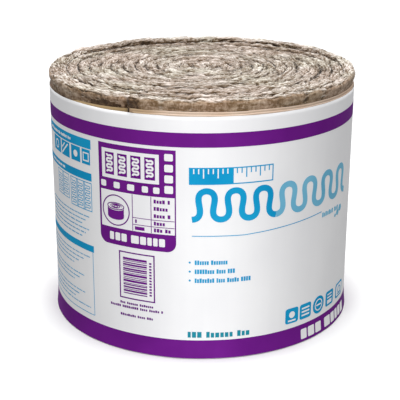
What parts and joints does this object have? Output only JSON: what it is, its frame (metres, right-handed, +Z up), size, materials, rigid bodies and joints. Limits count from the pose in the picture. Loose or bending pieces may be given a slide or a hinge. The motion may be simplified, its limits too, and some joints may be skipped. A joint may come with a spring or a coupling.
{
  "type": "insulation roll",
  "caption": "Wound blanket of kraft-faced glass wool standing on its end, held by a printed plastic wrap that leaves both ends open.",
  "frame": {"origin": "on the floor, at the middle of the roll's lower end", "axes": "+Z up along the roll's axis; -Y towards the front of the print"},
  "size_m": [0.46, 0.46, 0.381],
  "materials": {
    "wool": "matte fibrous glass wool, greige",
    "kraft_paper": "matte brown kraft paper",
    "wrap_film": "satin white plastic film",
    "ink_purple": "satin purple print on film",
    "ink_blue": "satin blue print on film"
  },
  "bodies": {
    "root": {"wool_blanket": "wool", "kraft_facing": "kraft_paper", "printed_wrap": "wrap_film"}
  },
  "joints": []
}
